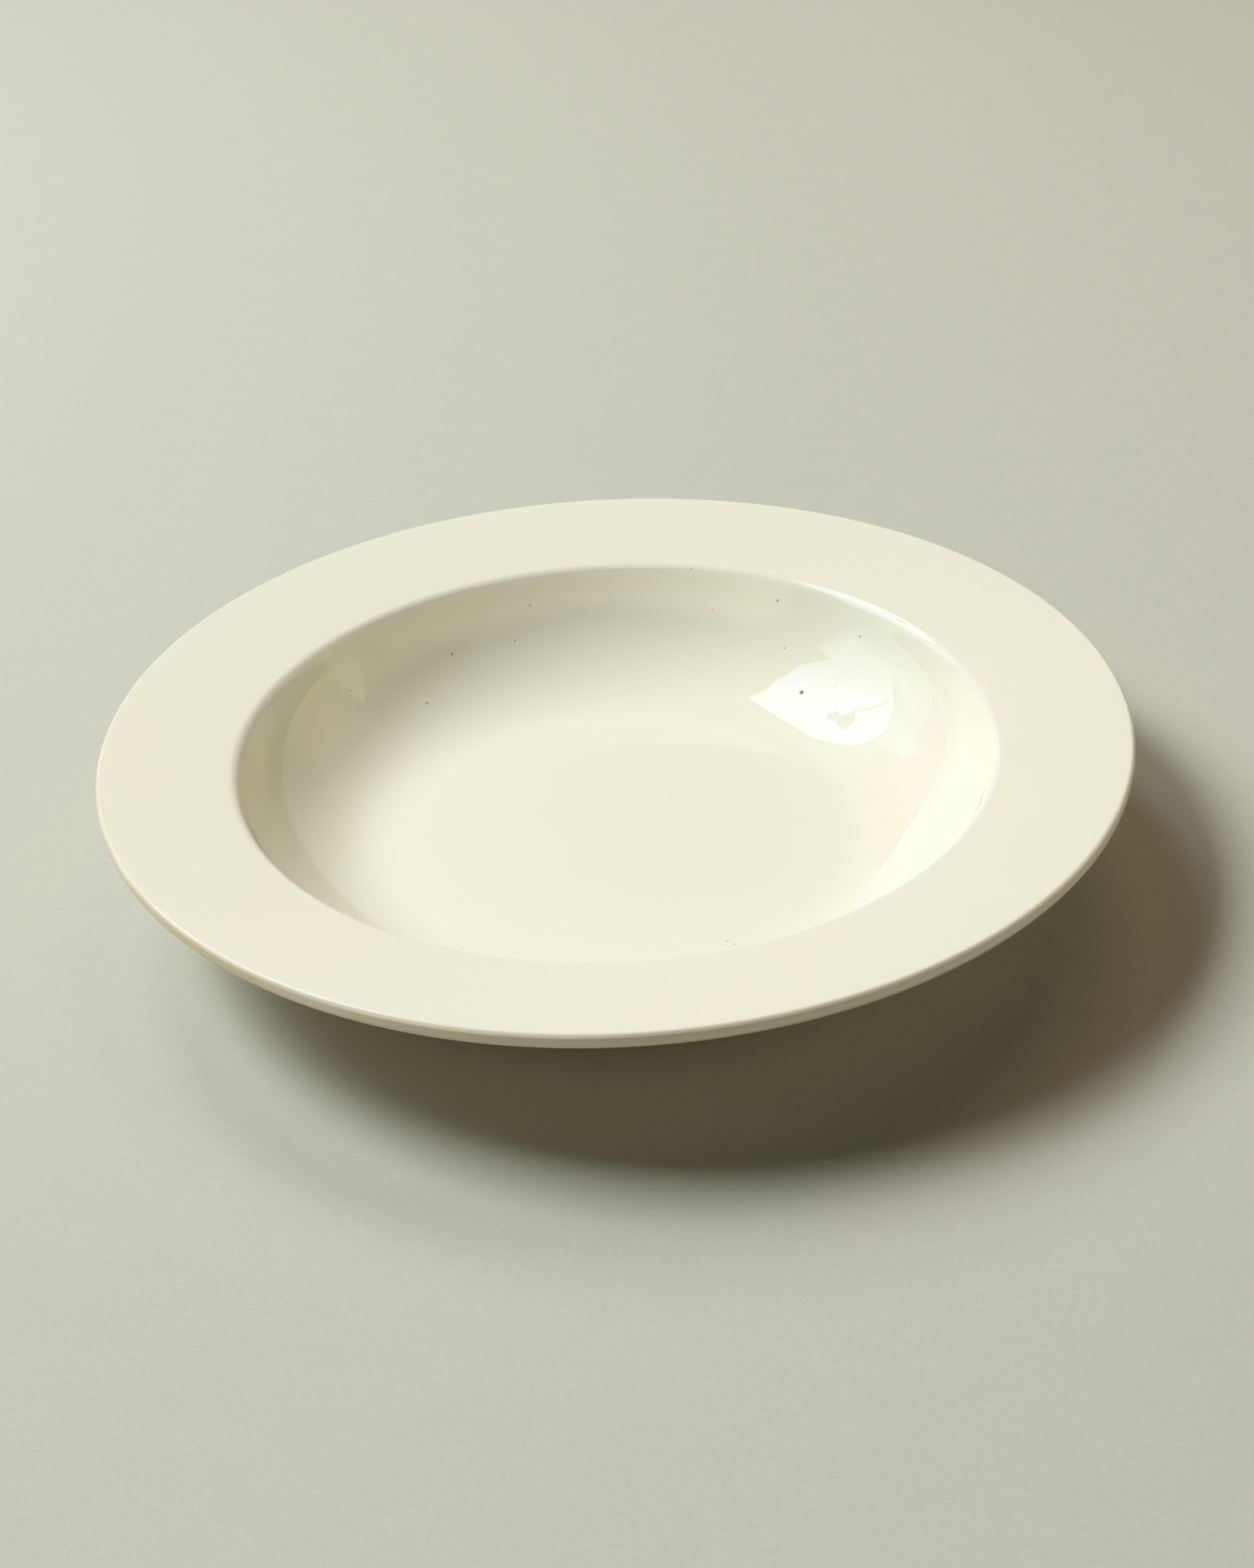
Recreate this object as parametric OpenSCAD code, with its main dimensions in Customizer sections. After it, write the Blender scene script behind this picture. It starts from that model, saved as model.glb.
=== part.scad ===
// Rimmed soup plate: one turned clay body under two fused films of cream glaze.
// The axis of the plate is Z, and the foot ring stands on the plane z = 0.
// Every size below is that of the finished, glazed plate.

/* [Plate] */
// Diameter over the lip
plate_d = 240; // [220:1:270]

/* [Rim] */
// Fall of the rim from the lip's crown to the edge of the well
rim_drop = 4.7; // [3:0.1:10]
// Thickness of the rim at the edge of the well
rim_t = 4.4; // [3.5:0.1:6]
// Thickness of the lip, from its crown to its underside
lip_t = 3.9; // [3.2:0.1:6]
// Rounding of the lip's upper edge
lip_top_r = 1; // [0.6:0.1:1.4]
// Rounding of the lip's lower edge
lip_under_r = 1.75; // [1:0.05:1.9]
// Rounding of the hollow where the underside of the rim meets the wall
shoulder_r = 7; // [4:0.5:12]

/* [Well] */
// Diameter of the edge where the rim turns down into the well
well_d = 177; // [165:1:190]
// Rounding of that edge
well_edge_r = 3; // [1:0.25:5]
// Depth of the floor below the lip's crown
well_depth = 32; // [28:0.5:42]
// Diameter of the flat floor
floor_d = 108; // [90:1:116]
// Thickness of the floor
floor_t = 4.3; // [3.4:0.1:6]
// Thickness of the wall of the well
wall_t = 4.5; // [3.5:0.1:5.5]
// How much of the largest curve that fits between floor and edge the wall takes up
bowl_share = 0.988; // [0.9:0.001:0.995]

/* [Foot] */
// Outer diameter of the foot ring
foot_d = 132; // [122:1:150]
// Width of the foot ring
foot_w = 5.5; // [4:0.25:8]
// Height of the base inside the foot ring above the table
recess_h = 2.2; // [2:0.1:3.2]
// Rounding of the foot ring's two lower edges
foot_edge_r = 0.9; // [0.5:0.05:1]
// Rounding where the foot ring grows out of the wall
foot_root_r = 2; // [1:0.25:4]
// Rounding where the foot ring meets the base inside it
recess_r = 0.7; // [0.4:0.05:0.8]

/* [Glaze] */
// Thickness of the glaze
glaze_t = 0.3; // [0.15:0.05:0.4]
// Height above the table up to which the foot is wiped bare
bare_h = 1.1; // [1:0.05:1.2]

/* [Hidden] */
$fn = 180;
clay_colour = [0.80, 0.73, 0.62];
glaze_colour = [0.92, 0.91, 0.82];
// Largest gap between a curve of the section and its chords
chord_gap = 0.015;

plate_h = well_depth + floor_t + recess_h;
plate_r = plate_d / 2;
well_r = well_d / 2;
floor_r = floor_d / 2;
foot_r = foot_d / 2;
foot_in_r = foot_r - foot_w;
foot_mid_r = foot_r - foot_w / 2;
floor_z = recess_h + floor_t;
floor_mid_z = recess_h + floor_t / 2;

// The section is a chain of arcs that straight lines join at their tangents.
function dir(a) = [cos(a), sin(a)];
function angle_of(v) = atan2(v.y, v.x);
function square_of(s) = s * s;
function arc_steps(r, sweep) = ceil(sweep / (2 * acos(1 - chord_gap / r)));

// The edge of the well, as a sharp corner
edge = [well_r, plate_h - rim_drop];

// The bowl: a curve that leaves the floor level, then a straight run up to the edge
edge_rise = edge.y - floor_z;
edge_reach = edge.x - floor_r;
bowl_r = bowl_share * (square_of(edge_reach) + square_of(edge_rise)) / (2 * edge_rise);
bowl_c = [floor_r, floor_z + bowl_r];
wall_a = 90 + angle_of(edge - bowl_c) - acos(bowl_r / norm(edge - bowl_c));

// The top of the rim runs from the edge to the lip's upper rounding
lip_c = [plate_r - lip_top_r, plate_h - lip_top_r];
rim_a = angle_of(lip_c - edge) + asin(lip_top_r / norm(lip_c - edge));
edge_turn = (wall_a - rim_a) / 2;
edge_c = edge - well_edge_r / cos(edge_turn) * dir(90 + rim_a + edge_turn);

// The underside of the rim runs from the lip's lower rounding to the shoulder
under_c = [plate_r - lip_under_r, plate_h - lip_t + lip_under_r];
under_a = angle_of(under_c - edge) + asin((rim_t - lip_under_r) / norm(under_c - edge));

// The shoulder is hollow, and touches the rim's underside and the back of the bowl
back_r = bowl_r + wall_t;
shoulder_line = edge + (rim_t + shoulder_r) * dir(under_a - 90) - bowl_c;
shoulder_run = shoulder_line * dir(under_a);
shoulder_slack = square_of(back_r + shoulder_r) - shoulder_line * shoulder_line;
shoulder_shift = sqrt(square_of(shoulder_run) + shoulder_slack) - shoulder_run;
shoulder_c = bowl_c + shoulder_line + shoulder_shift * dir(under_a);
shoulder_a = angle_of(shoulder_c - bowl_c);

// The foot's root is hollow, and touches the back of the bowl and the foot's outer side
root_reach = foot_r + foot_root_r - bowl_c.x;
root_drop = sqrt(square_of(back_r + foot_root_r) - square_of(root_reach));
root_c = bowl_c + [root_reach, -root_drop];
root_a = angle_of(root_c - bowl_c);

// An arc of the section about c. A ridge shrinks and a hollow grows, as skin is taken off.
function ridge(c, r, a, b, skin) = arc(c, r, r - skin, a, b);
function hollow(c, r, a, b, skin) = arc(c, r, r + skin, a, b);
function arc(c, r, r_here, a, b) =
    let (steps = arc_steps(r, abs(b - a)))
    [for (k = [0 : steps]) c + r_here * dir(a + (b - a) * k / steps)];

// Half the plate's section, with a skin of that thickness taken off all but the foot's sole
function outline(skin) = concat(
    [[0, floor_z - skin]],
    hollow(bowl_c, bowl_r, -90, wall_a - 90, skin),
    ridge(edge_c, well_edge_r, 90 + wall_a, 90 + rim_a, skin),
    ridge(lip_c, lip_top_r, 90 + rim_a, 0, skin),
    ridge(under_c, lip_under_r, 0, under_a - 90, skin),
    hollow(shoulder_c, shoulder_r, under_a + 90, shoulder_a + 180, skin),
    ridge(bowl_c, back_r, shoulder_a, root_a, skin),
    hollow(root_c, foot_root_r, root_a + 180, 180, skin),
    ridge([foot_r - foot_edge_r, foot_edge_r - skin], foot_edge_r, 0, -90, skin),
    ridge([foot_in_r + foot_edge_r, foot_edge_r - skin], foot_edge_r, -90, -180, skin),
    hollow([foot_in_r - recess_r, recess_h - recess_r], recess_r, 0, 90, skin),
    [[0, recess_h + skin]]
);

module plate_section(skin) {
    polygon(outline(skin));
}

// What the glaze covers: everything above the bare sole
module above_bare_sole() {
    translate([0, bare_h])
        square([plate_r, plate_h]);
}

// Around the base inside the foot ring, up to the middle of the floor's thickness
module inside_foot() {
    square([foot_mid_r, floor_mid_z]);
}

module glaze_section() {
    difference() {
        intersection() {
            plate_section(0);
            above_bare_sole();
        }
        plate_section(glaze_t);
    }
}

module clay_body() {
    color(clay_colour)
        rotate_extrude()
            plate_section(glaze_t);
}

module glaze_coat() {
    color(glaze_colour)
        rotate_extrude()
            difference() {
                glaze_section();
                inside_foot();
            }
}

module base_glaze() {
    color(glaze_colour)
        rotate_extrude()
            intersection() {
                glaze_section();
                inside_foot();
            }
}

clay_body();
glaze_coat();
base_glaze();
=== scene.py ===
import math
from collections import namedtuple

import bpy
from mathutils import Matrix, Vector


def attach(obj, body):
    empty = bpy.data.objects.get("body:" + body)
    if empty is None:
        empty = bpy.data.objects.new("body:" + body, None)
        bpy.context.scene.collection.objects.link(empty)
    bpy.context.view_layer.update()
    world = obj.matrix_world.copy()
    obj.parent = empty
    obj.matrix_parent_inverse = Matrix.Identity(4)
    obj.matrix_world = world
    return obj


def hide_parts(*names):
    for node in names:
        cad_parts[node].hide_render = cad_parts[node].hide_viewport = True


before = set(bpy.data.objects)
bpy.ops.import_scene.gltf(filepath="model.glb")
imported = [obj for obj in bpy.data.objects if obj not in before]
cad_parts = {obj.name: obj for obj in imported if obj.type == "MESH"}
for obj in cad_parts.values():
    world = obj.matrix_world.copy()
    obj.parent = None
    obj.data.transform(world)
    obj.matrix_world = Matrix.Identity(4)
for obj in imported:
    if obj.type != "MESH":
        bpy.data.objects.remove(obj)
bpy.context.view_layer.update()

# The plate's section, in millimetres, with the sizes of part.scad
MM = 0.001
PLATE_R = 120.0
RIM_DROP = 4.7
RIM_T = 4.4
LIP_T = 3.9
LIP_TOP_R = 1.0
LIP_UNDER_R = 1.75
SHOULDER_R = 7.0
WELL_R = 88.5
WELL_EDGE_R = 3.0
WELL_DEPTH = 32.0
FLOOR_R = 54.0
FLOOR_T = 4.3
WALL_T = 4.5
BOWL_SHARE = 0.988
FOOT_R = 66.0
FOOT_W = 5.5
RECESS_H = 2.2
FOOT_EDGE_R = 0.9
FOOT_ROOT_R = 2.0
RECESS_R = 0.7
GLAZE_T = 0.3
BARE_H = 1.1
PLATE_H = WELL_DEPTH + FLOOR_T + RECESS_H
FLOOR_Z = RECESS_H + FLOOR_T
FOOT_IN_R = FOOT_R - FOOT_W

# How finely the section and its turn about the axis are drawn
CHORD_GAP = 0.0015
LONGEST_STEP = 2.5
NO_STEP = 1e-6
ON_AXIS = 1e-9
TURNS = 384

# How the plate sank in firing, from that far above the bare foot: depth, times around and phase
SAG_FREE_H = 0.6
SAGS = ((0.10, 2, 0.7), (0.06, 3, -1.1))

# How the glaze's edges on the foot run up and down: depth, times around, and phase for each point's number
EDGE_WAVES = ((0.07, 3, 1), (0.05, 7, 2), (0.03, 17, 1))


def toward(angle):
    """The unit vector at that angle."""
    return Vector((math.cos(angle), math.sin(angle)))


def angle_of(v):
    """The angle of a vector."""
    return math.atan2(v.y, v.x)


def arc(centre, radius, drawn, start, end):
    """An arc of the radius drawn, in as many steps as the first radius needs."""
    steps = math.ceil(abs(end - start) / (2 * math.acos(1 - CHORD_GAP / radius)))
    return [centre + drawn * toward(start + (end - start) * k / steps) for k in range(steps + 1)]


def ridge(centre, radius, start, end, skin):
    """An arc round the inside of the plate's material, set back by a skin."""
    return arc(centre, radius, radius - skin, start, end)


def hollow(centre, radius, start, end, skin):
    """An arc round the air outside the plate, set back by a skin."""
    return arc(centre, radius, radius + skin, start, end)


# Centres and angles of the arcs, so that each stretch runs smoothly into the next
QUARTER = math.pi / 2
edge = Vector((WELL_R, PLATE_H - RIM_DROP))
rise = edge.y - FLOOR_Z
reach = edge.x - FLOOR_R
bowl_r = BOWL_SHARE * (reach ** 2 + rise ** 2) / (2 * rise)
bowl_c = Vector((FLOOR_R, FLOOR_Z + bowl_r))
to_edge = edge - bowl_c
wall_a = QUARTER + angle_of(to_edge) - math.acos(bowl_r / to_edge.length)
lip_c = Vector((PLATE_R - LIP_TOP_R, PLATE_H - LIP_TOP_R))
rim_a = angle_of(lip_c - edge) + math.asin(LIP_TOP_R / (lip_c - edge).length)
edge_turn = (wall_a - rim_a) / 2
edge_c = edge - WELL_EDGE_R / math.cos(edge_turn) * toward(QUARTER + rim_a + edge_turn)
under_c = Vector((PLATE_R - LIP_UNDER_R, PLATE_H - LIP_T + LIP_UNDER_R))
under_a = angle_of(under_c - edge) + math.asin((RIM_T - LIP_UNDER_R) / (under_c - edge).length)
back_r = bowl_r + WALL_T
line = edge + (RIM_T + SHOULDER_R) * toward(under_a - QUARTER) - bowl_c
run = line.dot(toward(under_a))
slack = (back_r + SHOULDER_R) ** 2 - line.dot(line)
shoulder_c = bowl_c + line + (math.sqrt(run ** 2 + slack) - run) * toward(under_a)
shoulder_a = angle_of(shoulder_c - bowl_c)
root_reach = FOOT_R + FOOT_ROOT_R - bowl_c.x
root_c = bowl_c + Vector((root_reach, -math.sqrt((back_r + FOOT_ROOT_R) ** 2 - root_reach ** 2)))
root_a = angle_of(root_c - bowl_c)


def upper(skin):
    """The section from the middle of the floor over the rim and down to the foot's outer side."""
    return ([Vector((0, FLOOR_Z - skin))]
            + hollow(bowl_c, bowl_r, -QUARTER, wall_a - QUARTER, skin)
            + ridge(edge_c, WELL_EDGE_R, QUARTER + wall_a, QUARTER + rim_a, skin)
            + ridge(lip_c, LIP_TOP_R, QUARTER + rim_a, 0, skin)
            + ridge(under_c, LIP_UNDER_R, 0, under_a - QUARTER, skin)
            + hollow(shoulder_c, SHOULDER_R, under_a + QUARTER, shoulder_a + math.pi, skin)
            + ridge(bowl_c, back_r, shoulder_a, root_a, skin)
            + hollow(root_c, FOOT_ROOT_R, root_a + math.pi, math.pi, skin))


def sole_out(skin):
    """The foot ring's outer lower edge."""
    centre = Vector((FOOT_R - FOOT_EDGE_R, FOOT_EDGE_R - skin))
    return ridge(centre, FOOT_EDGE_R, 0, -QUARTER, skin)


def sole_in(skin):
    """The foot ring's inner lower edge."""
    centre = Vector((FOOT_IN_R + FOOT_EDGE_R, FOOT_EDGE_R - skin))
    return ridge(centre, FOOT_EDGE_R, -QUARTER, -math.pi, skin)


def recess(skin):
    """The section inside the foot ring, from its inner side to the middle of the base."""
    centre = Vector((FOOT_IN_R - RECESS_R, RECESS_H - RECESS_R))
    return hollow(centre, RECESS_R, 0, QUARTER, skin) + [Vector((0, RECESS_H + skin))]


def spread(points):
    """Adds points along the straight runs, so that no step is longer than the longest step."""
    out = [points[0]]
    for p in points[1:]:
        q = out[-1]
        n = max(1, math.ceil((p - q).length / LONGEST_STEP))
        if (p - q).length > NO_STEP:
            out += [q + (p - q) * k / n for k in range(1, n + 1)]
    return out


def sagged(x, y, z):
    """The height after firing: the rim sinks by a tenth of a millimetre or two, here and there."""
    around = math.atan2(y, x)
    dip = sum(depth * (1 - math.cos(times * around + phase)) / 2 for depth, times, phase in SAGS)
    lift = max(0.0, min(1.0, (z - BARE_H - SAG_FREE_H) / (PLATE_H - BARE_H)))
    return z - dip * (math.hypot(x, y) / PLATE_R) ** 3 * lift


def wander(number, around):
    """How far a wandering point of the section, known by its number, runs up or down there."""
    return sum(depth * math.sin(times * around + phase * number) for depth, times, phase in EDGE_WAVES)


def new_object(name, verts, faces):
    """A mesh object in the scene."""
    mesh = bpy.data.meshes.new(name)
    mesh.from_pydata(verts, [], faces)
    obj = bpy.data.objects.new(name, mesh)
    bpy.context.scene.collection.objects.link(obj)
    return obj


def turned(name, closed, edges=()):
    """Turns a closed section about the axis. edges are the numbers of its points that wander."""
    verts = []
    rings = []
    for number, p in enumerate(closed):
        if p.x < ON_AXIS:
            rings.append([len(verts)] * TURNS)
            verts.append((0.0, 0.0, p.y * MM))
            continue
        rings.append(range(len(verts), len(verts) + TURNS))
        for k in range(TURNS):
            around = 2 * math.pi * k / TURNS
            x = p.x * math.cos(around)
            y = p.x * math.sin(around)
            z = p.y + wander(number, around) if number in edges else p.y
            verts.append((x * MM, y * MM, sagged(x, y, z) * MM))
    obj = new_object(name, verts, strips(rings))
    obj.data.validate()
    obj.data.shade_smooth()
    return obj


def strips(rings):
    """The faces between each ring of points and the next, with a triangle where two corners are one."""
    faces = []
    for ring, following in zip(rings, rings[1:] + rings[:1]):
        if ring[0] == ring[1] and following[0] == following[1]:
            continue
        for k in range(TURNS):
            m = (k + 1) % TURNS
            corners = [ring[k], ring[m], following[m], following[k]]
            faces.append([v for j, v in enumerate(corners) if v != corners[j - 1]])
    return faces


class Tree:
    """A short way to write a node tree: sockets and numbers go in, sockets come out."""

    def __init__(self, owner):
        owner.use_nodes = True
        self.tree = owner.node_tree
        self.tree.nodes.clear()

    def add(self, kind, out=0, values=None, **inputs):
        """A new node's output, or the node itself if out is None. i0, i1 and so on are inputs by number."""
        node = self.tree.nodes.new(kind)
        for name, value in (values or {}).items():
            setattr(node, name, value)
        for name, value in inputs.items():
            numbered = name[0] == "i" and name[1:].isdigit()
            self.put(node.inputs[int(name[1:]) if numbered else name.replace("_", " ")], value)
        return node if out is None else node.outputs[out]

    def put(self, socket, value):
        """Links a socket to the input, or sets the input to a number or colour."""
        if isinstance(value, bpy.types.NodeSocket):
            self.tree.links.new(value, socket)
        else:
            socket.default_value = value

    def math(self, operation, a, b=0.0, c=0.0, clamp=False):
        """A sum on numbers."""
        return self.add("ShaderNodeMath", values={"operation": operation, "use_clamp": clamp},
                        i0=a, i1=b, i2=c)

    def vector_math(self, operation, a, b=(0, 0, 0), out="Value"):
        """A sum on vectors."""
        return self.add("ShaderNodeVectorMath", out=out, values={"operation": operation}, i0=a, i1=b)

    def ramp(self, x, start, end, low=0.0, high=1.0):
        """A smooth step from low to high while x goes from start to end."""
        return self.add("ShaderNodeMapRange", values={"interpolation_type": "SMOOTHSTEP", "clamp": True},
                        i0=x, i1=start, i2=end, i3=low, i4=high)

    def noise(self, where, scale, detail=2.0, rough=0.5, distort=0.0):
        """Noise with that many features a metre."""
        return self.add("ShaderNodeTexNoise", out="Fac", Vector=where, Scale=scale, Detail=detail,
                        Roughness=rough, Distortion=distort)

    def mix(self, share, a, b):
        """The colour a with that share of b."""
        node = self.tree.nodes.new("ShaderNodeMix")
        node.data_type = "RGBA"
        for number, value in ((0, share), (6, a), (7, b)):
            self.put(node.inputs[number], value)
        return node.outputs[2]

    def place(self):
        """Where the shaded point is, in the object's own metres."""
        return self.add("ShaderNodeTexCoord", out="Object")

    def seen(self):
        """1 for what the camera, a mirror or glass shows, 0 for light on its way to the plate."""
        path = self.add("ShaderNodeLightPath", out=None).outputs
        mirrored = self.math("MAXIMUM", path["Is Glossy Ray"], path["Is Transmission Ray"])
        return self.math("MAXIMUM", path["Is Camera Ray"], mirrored)

    def surface(self, shader, output="ShaderNodeOutputMaterial"):
        """Gives the shader to the material, or to the world with a world output."""
        self.add(output, out=None, Surface=shader)


def material(name):
    """A new material and its node tree."""
    new = bpy.data.materials.new(name)
    return new, Tree(new)


# Colours of the glaze
CREAM = (0.846, 0.842, 0.690, 1)
CREAM_WARM = (0.854, 0.841, 0.683, 1)
CREAM_GREEN = (0.832, 0.846, 0.686, 1)
GRAIN = (0.70, 0.66, 0.47, 1)
THIN = (0.68, 0.56, 0.28, 1)
# Warm brown for the faces that look down: partly thinner glaze, partly painted shade that darkens them and
# warms the plate's shadow on the floor by its bounce
UNDER_SHADE = (0.76, 0.58, 0.38, 1)
IRON = (0.045, 0.035, 0.022, 1)
RUST = (0.42, 0.24, 0.09, 1)
PALE = (0.95, 0.93, 0.84, 1)
AMBER = (0.86, 0.60, 0.22, 1)
WORN = (0.62, 0.58, 0.42, 1)

# Its gloss: index, least and most roughness, and the heights of its bumps in millimetres
GLAZE_IOR = 2.0
GLAZE_ROUGH = (0.01, 0.03)
WAVE_H = 0.05
PEEL_H = 0.0008
PIT_H = 0.02

# The band round the lip in which the glaze thins out, in millimetres from the lip's outermost line
THIN_FROM = 0.9
THIN_FULL = 0.15

# Marks that show in the photograph: distance from the axis, bearing, width and depth of colour
IRON_MARKS = ((73, 48.5, 1.5, 0.95), (81.5, 120.5, 0.9, 0.55), (74.5, 130, 1.1, 0.5), (85.5, 104, 0.9, 0.45),
              (83, 143, 0.7, 0.6), (81, 108, 0.8, 0.5), (51, 297, 1.0, 0.22), (53, 298, 0.8, 0.28),
              (86.5, 59.5, 0.9, 0.75), (88.5, 75.5, 0.7, 0.5), (80.5, 56, 0.7, 0.5), (85.5, 42, 0.8, 0.6))
PALE_MARKS = ((87, 71, 1.2, 0.8), (67, 88.5, 1.1, 0.6))
AMBER_MARKS = ((84.3, 71.2, 1.1, 0.8),)

# Scratches that show there: distance and bearing of both ends, width and depth of colour
SCRATCHES = (((66.5, 128), (72.5, 103), 0.35, 0.30), ((69.5, 150), (59, 155.5), 0.40, 0.30),
             ((21, 264.5), (28.5, 288.5), 0.25, 0.15), ((34, 24), (36, 1.5), 0.25, 0.12))


def clouded(g, here):
    """The cream of the glaze, with faint warm and green clouds and a fine grain."""
    cloud = g.noise(here, scale=22, detail=3, rough=0.55)
    grain = g.noise(here, scale=900, detail=3, rough=0.6)
    colour = g.mix(g.ramp(cloud, 0.35, 0.65), CREAM_GREEN, CREAM_WARM)
    colour = g.mix(0.35, colour, CREAM)
    return g.mix(g.ramp(grain, 0.3, 0.7, 0.0, 0.05), colour, GRAIN)


def warm_and_shaded_below(g, colour):
    """Under the plate the glaze is thinner, and the clay warms it. This warm brown on the faces that look
    down is also painted shade: it darkens them, and it was made warm so that their bounce warms the plate's
    shadow on the floor.
    """
    normal = g.add("ShaderNodeNewGeometry", out="True Normal")
    upward_share = g.add("ShaderNodeSeparateXYZ", out="Z", Vector=normal)
    return g.mix(g.ramp(upward_share, 0.1, -0.35, 0.0, 0.55), colour, UNDER_SHADE)


def thinned_at_lip(g, here, colour):
    """Over the lip the glaze runs thin and shows the clay's warmth, here more and there less."""
    x, y, _ = g.add("ShaderNodeSeparateXYZ", out=None, Vector=here).outputs
    radius = g.math("SQRT", g.math("ADD", g.math("MULTIPLY", x, x), g.math("MULTIPLY", y, y)))
    band = g.ramp(radius, (PLATE_R - THIN_FROM) * MM, (PLATE_R - THIN_FULL) * MM)
    uneven = g.ramp(g.noise(here, scale=40, detail=3), 0.35, 0.75, 0.40, 0.75)
    return g.mix(g.math("MULTIPLY", band, uneven), colour, THIN)


def specks(g, here, colour, tint, cells, size, share, shift, strength):
    """Small round spots, one at most in each of that many cells a metre, and the mask of where they are."""
    shifted = g.vector_math("ADD", here, (shift, shift * 0.37, shift * 0.61), out="Vector")
    cell = g.add("ShaderNodeTexVoronoi", out=None, Vector=shifted, Scale=cells, Randomness=0.9)
    pick = g.add("ShaderNodeSeparateColor", out=None, Color=cell.outputs["Color"]).outputs
    wanted = g.math("GREATER_THAN", pick[0], 1 - share)
    wide = g.math("MULTIPLY_ADD", pick[1], size * 0.7, size * 0.45)
    inside = g.math("SUBTRACT", 1.0, g.math("DIVIDE", cell.outputs["Distance"], wide), clamp=True)
    spot = g.math("MULTIPLY", g.ramp(inside, 0.0, 0.5), wanted)
    deep = g.math("MULTIPLY", spot, g.math("MULTIPLY_ADD", pick[2], strength * 0.6, strength * 0.4))
    return g.mix(deep, colour, tint), spot


def speckled(g, here, colour):
    """The fine specks strewn in the glaze, and the mask of the larger iron ones."""
    colour, _ = specks(g, here, colour, IRON, cells=170, size=0.040, share=0.10, shift=3.1, strength=0.55)
    colour, large = specks(g, here, colour, IRON, cells=75, size=0.030, share=0.05, shift=7.7, strength=0.85)
    colour, _ = specks(g, here, colour, RUST, cells=120, size=0.045, share=0.03, shift=1.9, strength=0.35)
    colour, _ = specks(g, here, colour, PALE, cells=140, size=0.040, share=0.05, shift=5.3, strength=0.5)
    return colour, large


def face_height(distance):
    """The height of the plate's upper face at that distance from the axis."""
    face = upper(0)
    for p, q in zip(face, face[1:]):
        if p.x <= distance <= q.x:
            return p.y + (q.y - p.y) * (distance - p.x) / (q.x - p.x)


def on_face(distance, bearing_deg):
    """A place on the upper face, from its distance from the axis and its bearing."""
    across = distance * toward(math.radians(bearing_deg))
    return Vector((across.x, across.y, face_height(distance))) * MM


def spot_at(g, here, colour, place, across, tint, depth):
    """One round mark in the glaze."""
    off = g.vector_math("DISTANCE", here, place)
    return g.mix(g.ramp(off, across * 0.25 * MM, across * 0.5 * MM, depth, 0.0), colour, tint)


def scratch(g, here, colour, start, end, width, depth):
    """A ragged hairline between two places."""
    way = end - start
    from_start = g.vector_math("SUBTRACT", here, start, out="Vector")
    share = g.math("DIVIDE", g.vector_math("DOT_PRODUCT", from_start, way), way.length_squared, clamp=True)
    foot = g.add("ShaderNodeVectorMath", values={"operation": "SCALE"}, i0=way, Scale=share)
    off = g.vector_math("DISTANCE", from_start, foot)
    ragged = g.ramp(g.noise(here, scale=500), 0.35, 0.6, 0.3, 1.0)
    hairline = g.ramp(off, width * 0.3 * MM, width * 0.5 * MM, depth, 0.0)
    return g.mix(g.math("MULTIPLY", hairline, ragged), colour, WORN)


def marked(g, here, colour):
    """The marks and scratches that show in the photograph."""
    for tint, marks in ((IRON, IRON_MARKS), (PALE, PALE_MARKS), (AMBER, AMBER_MARKS)):
        for distance, bearing_deg, across, depth in marks:
            colour = spot_at(g, here, colour, on_face(distance, bearing_deg), across, tint, depth)
    for start, end, width, depth in SCRATCHES:
        colour = scratch(g, here, colour, on_face(*start), on_face(*end), width, depth)
    return colour


def rippled(g, here, pits):
    """The glaze's bumps: long waves, a trace of orange peel, and a pit at each larger speck."""
    waves = g.math("MULTIPLY", g.noise(here, scale=26), WAVE_H)
    peel = g.math("MULTIPLY", g.noise(here, scale=330), PEEL_H)
    height = g.math("SUBTRACT", g.math("ADD", waves, peel), g.math("MULTIPLY", pits, PIT_H))
    return g.add("ShaderNodeBump", Strength=1.0, Distance=MM, Height=height)


def cream_glaze():
    """The fused glaze of both films."""
    new, g = material("cream_glaze")
    here = g.place()
    colour = thinned_at_lip(g, here, warm_and_shaded_below(g, clouded(g, here)))
    colour, large_specks = speckled(g, here, colour)
    colour = marked(g, here, colour)
    rough = g.ramp(g.noise(here, scale=60, detail=3), 0.3, 0.75, *GLAZE_ROUGH)
    g.surface(g.add("ShaderNodeBsdfPrincipled", Base_Color=colour, Roughness=rough, IOR=GLAZE_IOR,
                    Normal=rippled(g, here, large_specks)))
    return new


# The clay: its colours, its least and most roughness, and the height of its grit in millimetres
CLAY_LIGHT = (0.66, 0.57, 0.44, 1)
CLAY_DARK = (0.57, 0.47, 0.34, 1)
GRIT = (0.34, 0.26, 0.17, 1)
RUBBED = (0.42, 0.37, 0.30, 1)
CLAY_ROUGH = (0.75, 0.95)
GRIT_H = 0.3


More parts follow.
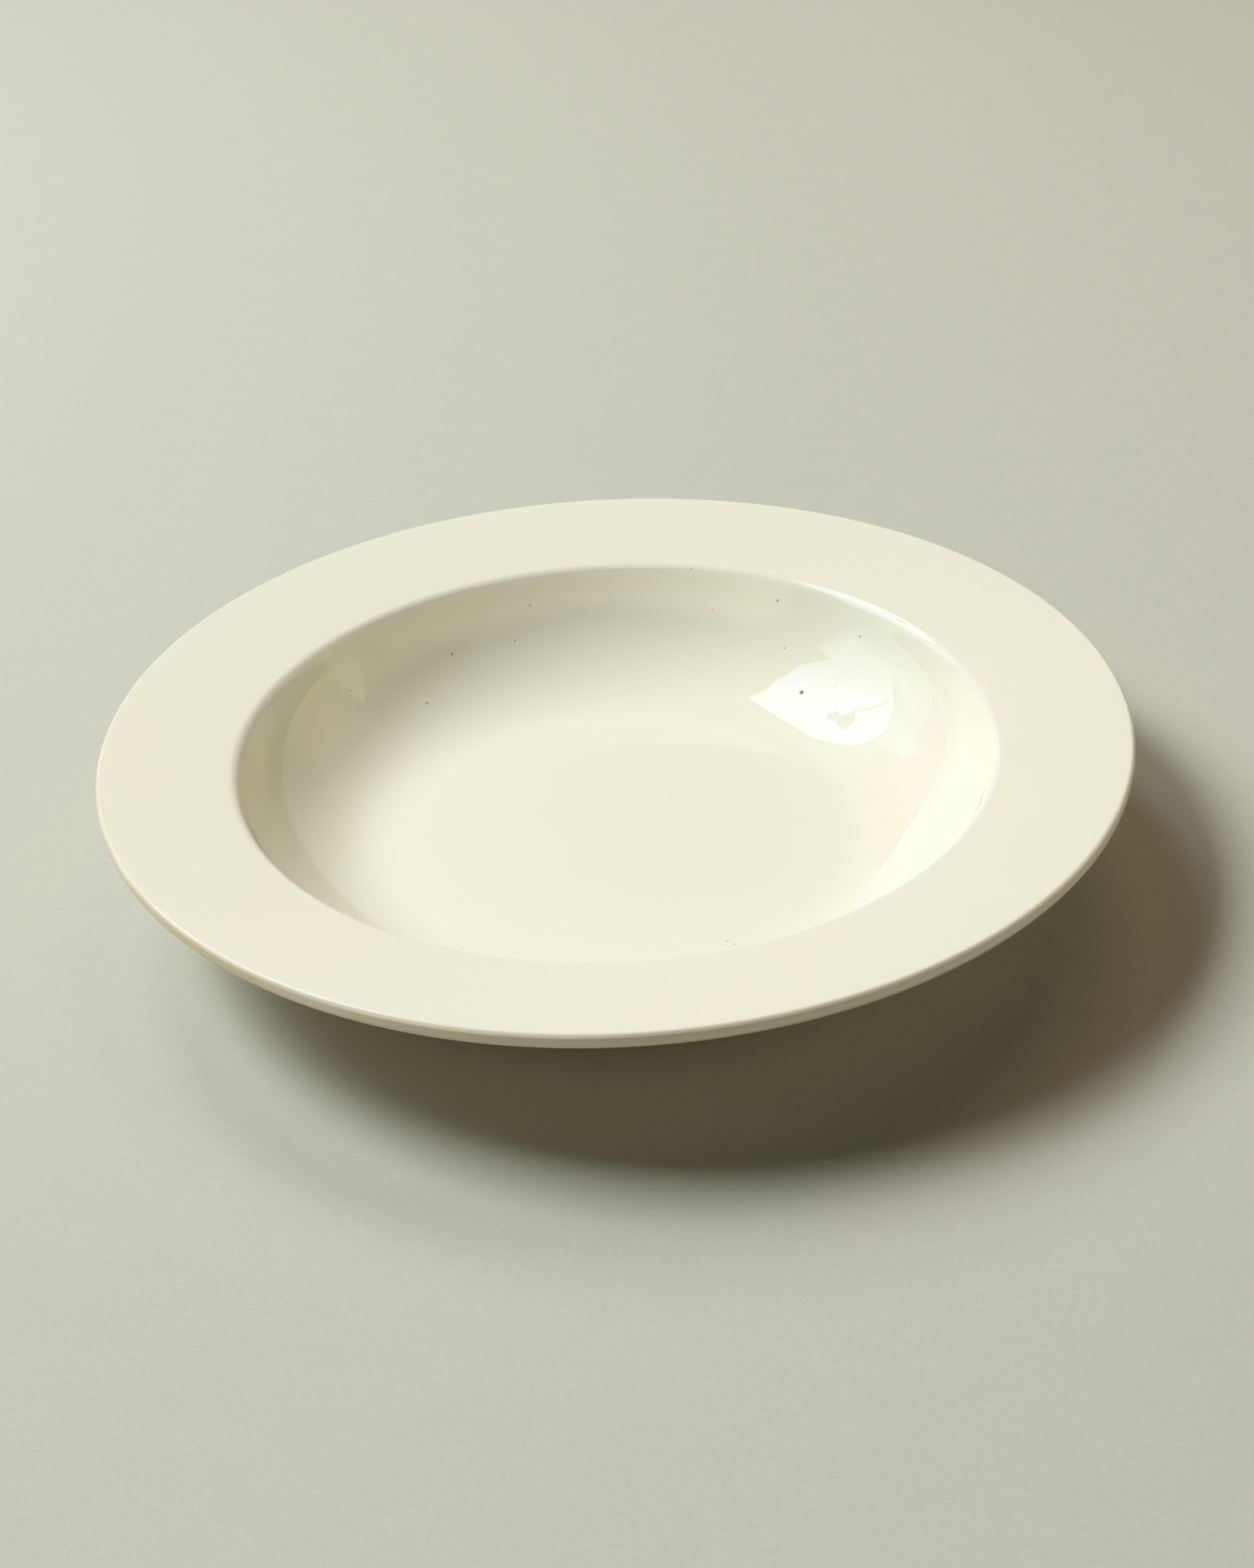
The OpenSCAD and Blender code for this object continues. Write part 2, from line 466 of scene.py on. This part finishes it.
def bare_clay():
    """Fired clay, as the wiped foot shows it: cloudy, with dark grit and rubbed patches."""
    new, c = material("bare_clay")
    here = c.place()
    cloud = c.noise(here, scale=70, detail=4, rough=0.6)
    grit = c.noise(here, scale=1900, detail=4, rough=0.7)
    rub = c.noise(here, scale=140, detail=3, rough=0.6)
    tone = c.mix(c.ramp(cloud, 0.3, 0.7), CLAY_LIGHT, CLAY_DARK)
    tone = c.mix(c.ramp(grit, 0.55, 0.75, 0.0, 0.45), tone, GRIT)
    tone = c.mix(c.ramp(rub, 0.5, 0.7, 0.0, 0.4), tone, RUBBED)
    pits = c.add("ShaderNodeBump", Strength=0.6, Distance=GRIT_H * MM, Height=grit)
    rough = c.ramp(grit, 0.3, 0.7, *CLAY_ROUGH)
    c.surface(c.add("ShaderNodeBsdfPrincipled", Base_Color=tone, Roughness=rough, Normal=pits))
    return new


def plate_glaze():
    """The coat over the face, the lip, the underside and the foot's outer side down to the wiped band."""
    outer = spread(upper(0))
    inner = spread(upper(GLAZE_T))
    ends = [Vector((FOOT_R, BARE_H)), Vector((FOOT_R - GLAZE_T, BARE_H))]
    return turned("plate_glaze", outer + ends + inner[::-1], edges=(len(outer), len(outer) + 1))


def base_pool():
    """The pool of glaze inside the foot ring."""
    low = spread(recess(0))
    high = spread(recess(GLAZE_T))
    closed = [Vector((FOOT_IN_R, BARE_H))] + low + high[::-1] + [Vector((FOOT_IN_R + GLAZE_T, BARE_H))]
    return turned("base_pool", closed, edges=(0, len(closed) - 1))


def clay_slab():
    """The clay under both films, with the foot's sole bare."""
    closed = (spread(upper(GLAZE_T)) + [Vector((FOOT_R - GLAZE_T, BARE_H))] + sole_out(GLAZE_T)
              + sole_in(GLAZE_T) + [Vector((FOOT_IN_R + GLAZE_T, BARE_H))] + spread(recess(GLAZE_T)))
    return turned("clay_slab", closed)


# The pieces, each in place of its CAD solid
glaze = cream_glaze()
clay = bare_clay()
coat = plate_glaze()
base = base_pool()
slab = clay_slab()
pieces = ((coat, "glaze_coat", glaze), (base, "base_glaze", glaze), (slab, "clay_body", clay))
for piece, node, mat in pieces:
    piece.data.materials.append(mat)
    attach(piece, "root")
    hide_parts(node)
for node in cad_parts.values():
    node.data.materials.clear()
    node.data.materials.append(clay if node.name == "clay_body" else glaze)

# The paper floor and the backdrop: sizes in metres
BACKDROP = (0.655, 0.645, 0.562, 1)
SKY = (0.40, 0.37, 0.28, 1)
SKY_RISE = (0.02, 0.55)
SKY_LIGHT = (0.015, 0.014, 0.012, 1)
PAPER_DARK = (0.518, 0.527, 0.451, 1)
PAPER_LIGHT = (0.559, 0.568, 0.491, 1)
PAPER_BLOTCH = (0.526, 0.538, 0.464, 1)
PAPER_ENDS = (0.9, 2.4)
FLOOR_HALF = 12.0


def rectangle(left, right, low, high):
    """The corners of a rectangle."""
    return [(left, low), (right, low), (right, high), (left, high)]


def paper_floor():
    """Mottled paper. Away from the plate it turns into the backdrop, but only where it is seen."""
    new, p = material("paper_floor")
    new.cycles.emission_sampling = "NONE"
    here = p.place()
    fibre = p.noise(here, scale=700, detail=5, rough=0.7, distort=0.4)
    blotch = p.noise(here, scale=90, detail=4, rough=0.6)
    sheet = p.mix(p.ramp(fibre, 0.3, 0.7), PAPER_DARK, PAPER_LIGHT)
    sheet = p.mix(p.ramp(blotch, 0.3, 0.7, 0.0, 0.7), sheet, PAPER_BLOTCH)
    felt = p.add("ShaderNodeBump", Strength=0.25, Distance=0.4 * MM, Height=fibre)
    near = p.add("ShaderNodeBsdfPrincipled", Base_Color=sheet, Roughness=0.9, Specular_IOR_Level=0.15,
                 Normal=felt)
    far = p.add("ShaderNodeEmission", Color=BACKDROP, Strength=1.0)
    away = p.ramp(p.vector_math("LENGTH", here), *PAPER_ENDS)
    p.surface(p.add("ShaderNodeMixShader", i0=p.math("MULTIPLY", away, p.seen()), i1=near, i2=far))
    return new


corners = rectangle(-FLOOR_HALF, FLOOR_HALF, -FLOOR_HALF, FLOOR_HALF)
floor = new_object("floor", [(x, y, 0) for x, y in corners], [(0, 1, 2, 3)])
floor.data.materials.append(paper_floor())


def studio_world():
    """The backdrop above the floor, which is seen but gives the plate next to no light."""
    new = bpy.data.worlds.new("studio")
    w = Tree(new)
    look = w.add("ShaderNodeTexCoord", out="Generated")
    up = w.add("ShaderNodeSeparateXYZ", out="Z", Vector=look)
    tint = w.mix(w.seen(), SKY_LIGHT, w.mix(w.ramp(up, *SKY_RISE), BACKDROP, SKY))
    w.surface(w.add("ShaderNodeBackground", Color=tint, Strength=1.0), output="ShaderNodeOutputWorld")
    return new


bpy.context.scene.world = studio_world()

# Lamps and cards stand on walls, planes that face the plate, at places in metres level and rising
Wall = namedtuple("Wall", "middle level rising")


def wall_at(azimuth, height, distance):
    """The wall whose middle lies at that azimuth and height, in degrees, and that distance in metres."""
    a = math.radians(azimuth)
    e = math.radians(height)
    outward = Vector((math.cos(a) * math.cos(e), math.sin(a) * math.cos(e), math.sin(e)))
    level = Vector((0, 0, 1)).cross(outward).normalized()
    return Wall(distance * outward, level, outward.cross(level))


def on_wall(wall, level, rising):
    """A place on the wall."""
    return wall.middle + wall.level * level + wall.rising * rising


def lamp(name, wall, level, rising, wide, high, radiance, colour):
    """A soft box on the wall, turned to the plate. The cards stand in for its reflection."""
    box = bpy.data.lights.new(name, "AREA")
    box.shape = "RECTANGLE"
    box.size = wide
    box.size_y = high
    box.energy = math.pi * wide * high * radiance
    box.color = colour
    o = bpy.data.objects.new(name, box)
    o.location = on_wall(wall, level, rising)
    o.rotation_mode = "QUATERNION"
    o.rotation_quaternion = (-o.location).to_track_quat("-Z", "Y")
    o.visible_glossy = False
    o.visible_camera = False
    bpy.context.scene.collection.objects.link(o)


def card(name, wall, outline, strength, colour, hot=None, fades=()):
    """A shining card on the wall, which only the gloss shows.

    hot is its brightest place, a distance from there and the share of the strength that is left at it.
    Each fade is a direction of the wall, where the card starts to thin out and where it has gone."""
    new, t = material(name)
    new.cycles.emission_sampling = "NONE"
    here = t.place()
    glow = strength
    if hot:
        level, rising, distance, share = hot
        from_hot = t.vector_math("DISTANCE", here, on_wall(wall, level, rising))
        glow = t.ramp(from_hot, 0.0, distance, strength, strength * share)
    sheet = t.add("ShaderNodeEmission", Color=(*colour, 1), Strength=glow)
    for direction, start, end in fades:
        axis = getattr(wall, direction)
        middle = wall.middle.dot(axis)
        gone = t.ramp(t.vector_math("DOT_PRODUCT", here, axis), middle + start, middle + end)
        sheet = t.add("ShaderNodeMixShader", i0=gone, i1=sheet, i2=t.add("ShaderNodeBsdfTransparent"))
    t.surface(sheet)
    o = new_object(name, [on_wall(wall, *corner) for corner in outline], [tuple(range(len(outline)))])
    o.data.materials.append(new)
    o.visible_camera = False
    o.visible_diffuse = False
    o.visible_shadow = False


# The lamps: an umbrella behind the plate on the left, as three boxes, and weak fills
KEY = (0.975, 1.0, 1.04)
FILL = (1.30, 0.94, 0.61)
SIDE = (1.10, 1.0, 0.69)
KEY_BEARING = (150, 52)
key_wall = wall_at(*KEY_BEARING, 2.2)
lamp("key_high", key_wall, 0.5, 0.35, 1.0, 0.45, 19.7, KEY)
lamp("key_middle", key_wall, 0.5, -0.10, 1.0, 0.45, 16.2, KEY)
lamp("key_near", key_wall, -0.75, 0.125, 0.5, 0.90, 7.7, KEY)
lamp("fill_top", wall_at(60, 65, 3.0), 0, 0, 1.6, 1.3, 1.46, FILL)
lamp("fill_back", wall_at(90, 15, 3.0), 0, 0, 5.8, 1.3, 0.29, FILL)
lamp("fill_right", wall_at(0, 15, 3.0), 0, 0, 3.0, 1.3, 0.84, SIDE)

# The umbrella as the well mirrors it, with its ribs, and before it the flash head on its boom
UMBRELLA_TINT = (0.68, 0.70, 1.0)
SIDE_TINT = (0.72, 0.75, 1.0)
RIB_TINT = (0.95, 0.90, 0.90)
HEAD_TINT = (1.0, 0.95, 0.85)
UMBRELLA = [(-1.2, 0.2), (-0.7, 0.45), (-0.45, 0.56), (0.3, 0.4), (0.85, 0.1), (1.15, -0.5),
            (1.45, -1.0), (1.1, -1.1), (0.9, -1.45), (0.2, -1.0), (-0.3, -0.6), (-0.85, -0.1)]
UMBRELLA_SIDE = [(0.9, -1.45), (0.5, -1.35), (0.05, -1.15), (-0.75, -1.1), (-0.8, -0.7), (-0.55, -0.35),
                 (-0.3, -0.6), (0.2, -1.0)]
RIB = [(1.30, -0.74), (1.28, -0.78), (0.29, -0.145), (0.30, -0.12)]
SIDE_RIB = [(0.86, -1.74), (0.82, -1.78), (-0.02, -1.15), (0.0, -1.11)]
FLASH_HEAD = [(-0.37, 0.07), (-0.17, -0.06), (-0.26, -0.07), (-0.09, -0.27), (-0.3, -0.2), (-0.6, -0.03),
              (-0.44, 0.01), (-0.48, 0.07)]
BOOM = [(-0.125, -0.22), (-0.085, -0.21), (0.215, -0.90), (0.18, -0.91)]
rib_wall = wall_at(*KEY_BEARING, 2.18)
head_wall = wall_at(*KEY_BEARING, 2.15)
card("umbrella", key_wall, UMBRELLA, 2.25, UMBRELLA_TINT, hot=(-0.2, 0.2, 2.0, 0.6))
card("umbrella_side", key_wall, UMBRELLA_SIDE, 0.7, SIDE_TINT)
card("umbrella_rib", rib_wall, RIB, 1.2, RIB_TINT)
card("side_rib", rib_wall, SIDE_RIB, 1.1, SIDE_TINT)
card("flash_head", head_wall, FLASH_HEAD, 0.27, HEAD_TINT)
card("boom", head_wall, BOOM, 0.65, HEAD_TINT)

# The studio behind the plate and to its right: a dim wall, the bright sweep before it, a card, a window
WALL_TINT = (1.0, 0.52, 0.88)
SWEEP_TINT = (0.60, 0.62, 1.0)
FAR_TINT = (1.0, 1.0, 0.95)
ROOM = (1.08, 1.0, 0.73)
LIT_WALL = [(-0.42, 0.06), (-0.42, 0.6), (-0.2, 1.0), (0.6, 1.0), (1.1, 0.65), (2.45, -0.6), (2.3, -0.9),
            (0.9, -0.9), (0.35, -0.2)]
LIT_SWEEP = [(-0.57, 0.14), (-0.36, 0.08), (-0.03, 0.07), (0.42, -0.06), (0.92, -0.24), (1.25, -0.53),
             (1.39, -0.95), (-0.57, -0.95)]
FAR_CARD = [(0.065, 0.01), (-0.035, 0.034), (-0.12, 0.07), (0.01, 0.02)]
SIDE_WINDOW = [(0.05, -0.75), (-0.45, -0.35), (-0.2, 0.25), (0.25, 0.8), (0.2, 0.4), (0.15, -0.25)]
card("lit_wall", wall_at(108, 20, 2.6), LIT_WALL, 0.30, WALL_TINT)
card("lit_sweep", wall_at(108, 20, 2.5), LIT_SWEEP, 1.0, SWEEP_TINT, hot=(-0.15, 0.08, 0.9, 0.6))
card("far_card", wall_at(93, 33.5, 2.5), FAR_CARD, 0.38, FAR_TINT)
card("side_window", wall_at(4, 18, 2.8), SIDE_WINDOW, 1.3, ROOM)

# The rest of the room: a broad card on the left, and three sides that fade upwards
LEFT_TINT = (0.88, 0.86, 1.0)
ROOM_LOW = -0.66
ROOM_HIGH = 1.95
ROOM_FADE = ("rising", 0.42, 1.90)
ROOM_WIDE = rectangle(-2.1, 2.1, ROOM_LOW, ROOM_HIGH)
card("left_card", wall_at(165, 20, 2.6), rectangle(-1.2, 1.25, -0.85, 0.80), 1.3, LEFT_TINT,
     fades=(("rising", 0.3, -0.75), ("level", 0.3, -1.1), ("level", 0.9, 1.25)))
card("room_left", wall_at(240, 12, 3.0), ROOM_WIDE, 1.2, ROOM, fades=(ROOM_FADE, ("level", -1.0, -2.0)))
card("room_right", wall_at(310, 12, 3.0), ROOM_WIDE, 1.2, ROOM, fades=(ROOM_FADE,))
card("room_side", wall_at(15, 12, 3.0), rectangle(-1.73, 1.9, ROOM_LOW, ROOM_HIGH), 1.1, ROOM,
     fades=(ROOM_FADE, ("level", 0.2, 1.85)))

# The camera, fitted to the photograph. ORIGIN_AT is the pixel at which the frame's origin lies
PIXELS_WIDE = 1600
PIXELS_HIGH = 2000
FOCAL_PIXELS = 3333.0
ORIGIN_AT = (791.82, 1095.41)
DEPTH = 0.63055
ELEVATION = math.radians(31.8996)
ROLL = math.radians(-2.8652)
SENSOR = 36.0
CLIP = (0.01, 50)


def photograph_camera():
    """A camera that looks along +Y and down, rolled about its own axis, with the origin at its pixel."""
    ahead = Vector((0, math.cos(ELEVATION), -math.sin(ELEVATION)))
    right = Vector((1, 0, 0))
    upward = right.cross(ahead)
    row_x = math.cos(ROLL) * right + math.sin(ROLL) * upward
    row_y = math.sin(ROLL) * right - math.cos(ROLL) * upward
    offset = Vector(((ORIGIN_AT[0] - PIXELS_WIDE / 2) / FOCAL_PIXELS * DEPTH,
                     (ORIGIN_AT[1] - PIXELS_HIGH / 2) / FOCAL_PIXELS * DEPTH, DEPTH))
    spot = -(row_x * offset.x + row_y * offset.y + ahead * offset.z)
    view = bpy.data.cameras.new("photograph")
    view.sensor_fit = "AUTO"
    view.sensor_width = SENSOR
    view.lens = SENSOR * FOCAL_PIXELS / PIXELS_HIGH
    view.clip_start, view.clip_end = CLIP
    eye = bpy.data.objects.new("photograph", view)
    turn = Matrix((row_x, -row_y, -ahead)).transposed()
    eye.matrix_world = Matrix.Translation(spot) @ turn.to_4x4()
    bpy.context.scene.collection.objects.link(eye)
    return eye


bpy.context.scene.camera = photograph_camera()
bpy.context.scene.view_settings.view_transform = "Standard"
